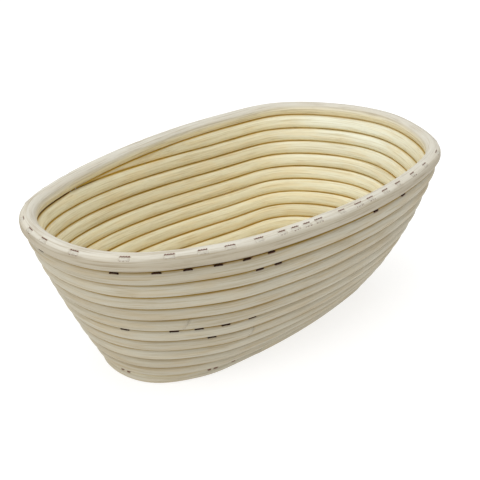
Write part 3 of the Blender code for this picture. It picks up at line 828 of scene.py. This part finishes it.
def rattan(name, tones):
    """Peeled cane, with painted light and shade on the side that it shows and on the inside of the +X
    end, painted shade in its grooves, and dark marks that are partly stains and partly painted shade.
    """
    shader = Shader(name)
    straight = shader.attribute("straight").outputs["Vector"]
    noises = {noise: shader.noise(straight, (along, across, across), detail)
              for noise, (along, across, detail) in CANE_NOISES.items()}
    colour = peeled_colour(shader, noises, tones)
    parts = shader.add("ShaderNodeSeparateXYZ", {0: straight})
    out_part = parts.outputs[1]
    # Painted light and shade: the inner side is painted brighter and warmer than the outer side.
    inside = shader.ramp(out_part, *INSIDE_EDGE)
    tint = shader.mix(inside, tones["outer"], tones["inner"])
    # Painted highlight: the top of the rim, where light falls, is painted whiter.
    if tones["upper"]:
        raised = shader.maths("SUBTRACT", parts.outputs[2], shader.maths("MULTIPLY", out_part, 0.5))
        tint = shader.mix(shader.ramp(raised, *UPPER_EDGE), tint, tones["upper"])
    colour = shader.mix(1.0, colour, tint, "MULTIPLY")
    # Painted light: the inside of the +X end is painted paler, as where light falls on it.
    place = shader.add("ShaderNodeSeparateXYZ", {0: shader.add("ShaderNodeTexCoord").outputs["Object"]})
    painted_end_light = shader.maths("MULTIPLY", shader.ramp(place.outputs[0], *PAINTED_LIGHT_END), inside)
    colour = shader.mix(painted_end_light, colour, tones["end"], "MULTIPLY")
    # Painted shade: brown darkening in the grooves, raggedly edged by the streaks.
    ragged = shader.maths("MULTIPLY", shader.maths("SUBTRACT", noises["streak"], 0.5), GROOVE_RAGGED)
    depth = shader.maths("ADD", shader.attribute("groove").outputs["Fac"], ragged)
    groove = shader.ramp(depth, *GROOVE_EDGE)
    faded = shader.maths("MULTIPLY", painted_end_light, PAINTED_LIGHT_GROOVE_FADE)
    groove = shader.maths("MULTIPLY", groove, shader.maths("SUBTRACT", 1.0, faded))
    colour = shader.mix(groove, colour, tones["groove"], "MULTIPLY")
    # Dark marks: stains and split fibres, with painted shade of the staple pockets and of the groove
    # under the rim.
    stain_and_shade = shader.ramp(shader.attribute("stain_and_shade").outputs["Fac"], *STAIN_AND_SHADE_RAMP)
    colour = shader.mix(stain_and_shade, colour, STAIN_AND_SHADE_TONE)
    shader.put(shader.surface.inputs["Base Color"], colour)
    shader.put(shader.surface.inputs["Specular IOR Level"], 0.30)
    shader.roughen(noises["fibre"], 0.55, 0.80)
    for noise, strength, height in CANE_BUMPS:
        shader.bump(noises[noise], strength, height)
    return shader.material


def steel(name, tones, shine):
    """Drawn flat wire, dulled, with scratches along it and darker tarnish in patches."""
    bright, dull = tones
    shader = Shader(name)
    straight = shader.attribute("straight").outputs["Vector"]
    drawn = shader.noise(straight, (300.0, 300.0, 9000.0), 2.0)
    patches = shader.noise(straight, (900.0, 900.0, 900.0), 3.0)
    colour = shader.mix(shader.ramp(patches, 0.40, 0.62), bright, dull)
    shader.put(shader.surface.inputs["Base Color"], colour)
    shader.put(shader.surface.inputs["Metallic"], 0.0)
    shader.put(shader.surface.inputs["Specular IOR Level"], shine)
    shader.roughen(drawn, 0.30, 0.60)
    shader.bump(drawn, 0.4, 0.00005)
    return shader.material


# ---------------------------------------------------------------- scene

def add_floor():
    shader = Shader("studio_floor")
    shader.put(shader.surface.inputs["Base Color"], FLOOR_TONE)
    shader.put(shader.surface.inputs["Roughness"], 0.9)
    shader.put(shader.surface.inputs["Specular IOR Level"], 0.0)
    shader.put(shader.surface.inputs["Emission Color"], (*WHITE, 1.0))
    shader.put(shader.surface.inputs["Emission Strength"], FLOOR_GLOW)
    bpy.ops.mesh.primitive_plane_add(size=8.0, location=(0, 0, -FLOOR_DROP))
    floor = bpy.context.object
    floor.name = "studio_floor"
    floor.data.materials.append(shader.material)


def add_area_light(name, location, size, power):
    data = bpy.data.lights.new(name, "AREA")
    data.shape = "SQUARE"
    data.size = size
    data.energy = power
    data.color = WHITE
    light = bpy.data.objects.new(name, data)
    light.location = location
    towards = Vector(LIGHT_TARGET) - Vector(location)
    light.rotation_euler = towards.to_track_quat("-Z", "Y").to_euler()
    bpy.context.scene.collection.objects.link(light)


def add_world():
    world = bpy.data.worlds.new("studio_air")
    world.use_nodes = True
    background = world.node_tree.nodes["Background"]
    background.inputs["Color"].default_value = (*WHITE, 1.0)
    background.inputs["Strength"].default_value = AIR_LIGHT
    bpy.context.scene.world = world


def add_camera():
    """The photograph's view: from the front left, above the rim."""
    level = math.cos(CAMERA_ELEVATION)
    forward = np.array([-math.sin(CAMERA_AZIMUTH) * level, math.cos(CAMERA_AZIMUTH) * level,
                        -math.sin(CAMERA_ELEVATION)])
    right = np.array([math.cos(CAMERA_AZIMUTH), math.sin(CAMERA_AZIMUTH), 0.0])
    up = np.cross(right, forward)
    rolled_right = right * math.cos(CAMERA_ROLL) + up * math.sin(CAMERA_ROLL)
    rolled_up = -right * math.sin(CAMERA_ROLL) + up * math.cos(CAMERA_ROLL)
    location = np.array(CAMERA_TARGET) - forward * CAMERA_DISTANCE
    camera_data = bpy.data.cameras.new("camera")
    camera_data.sensor_width = 36.0
    camera_data.lens = CAMERA_LENS
    camera_data.shift_x, camera_data.shift_y = CAMERA_SHIFT
    camera = bpy.data.objects.new("camera", camera_data)
    axes = np.stack([rolled_right, rolled_up, -forward], axis=1)
    camera.matrix_world = Matrix.Translation(Vector(location)) @ Matrix(axes.tolist()).to_4x4()
    bpy.context.scene.collection.objects.link(camera)
    bpy.context.scene.camera = camera


def half_overlap(splice):
    """Half of a splice's overlap, in turns of the row that the splice is in."""
    return SPLICE_OVERLAP / 2 / ROW_LENGTHS[TOTAL_ROWS - int(splice)]


def add_strand(material, marks):
    """The strand's four canes. Each ends a hair past its splice, and the outer two end in tips."""
    splices = (LOWER_SPLICE, MIDDLE_SPLICE, UPPER_SPLICE)
    starts = [FIRST_TURN] + [splice - half_overlap(splice) for splice in splices]
    ends = [splice + half_overlap(splice) for splice in splices] + [LAST_TURN]
    canes = (("floor", "floor_cane", FLOOR_STEP, 11), ("lower_wall", "wall_cane", CANE_STEP, 23),
             ("middle_wall", "wall_cane", CANE_STEP, 37), ("upper_wall", "wall_cane", CANE_STEP, 53))
    for (place, slot, step, seed), start, end in zip(canes, starts, ends):
        spliced = (start > FIRST_TURN, end < LAST_TURN)
        cane = strand_piece(place + "_rattan", place + "_cane", start, end, step, seed, spliced, marks)
        cane.data.materials.append(material)
        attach(cane, BODY)


def main():
    staples = [staple_from_node(node) for node in sorted(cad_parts) if "staple" in node]
    rim_staples = [staple for staple in staples if staple["node"].startswith("rim_staple")]
    groove_staples = [staple for staple in staples if "groove" in staple["node"]]
    nicks = [base_nick(fraction) for fraction in NICK_FRACTIONS]
    add_strand(rattan("wall_rattan", WALL_TONES), groove_staples + nicks)
    rim = rim_piece(rim_staples)
    rim.data.materials.append(rattan("rim_rattan", RIM_TONES))
    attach(rim, BODY)
    # Painted reflection: the crowns' pale colour stands for the white they reflect.
    crown_steel_painted_reflection = steel("crown_steel_painted_reflection", CROWN_STEEL_PAINTED_REFLECTION, 0.3)
    for staple in rim_staples:
        staple_piece(staple, crown_steel_painted_reflection)
    # Near-black steel with almost no shine: painted shade of the groove pockets.
    groove_steel_painted_shade = steel("groove_steel_painted_shade", GROOVE_STEEL_PAINTED_SHADE, 0.02)
    for staple in groove_staples:
        staple_piece(staple, groove_steel_painted_shade)
    add_floor()
    add_world()
    for name, location, size, power in STUDIO_LIGHTS:
        add_area_light(name, location, size, power)
    add_camera()
    bpy.context.scene.view_settings.view_transform = "Standard"


main()
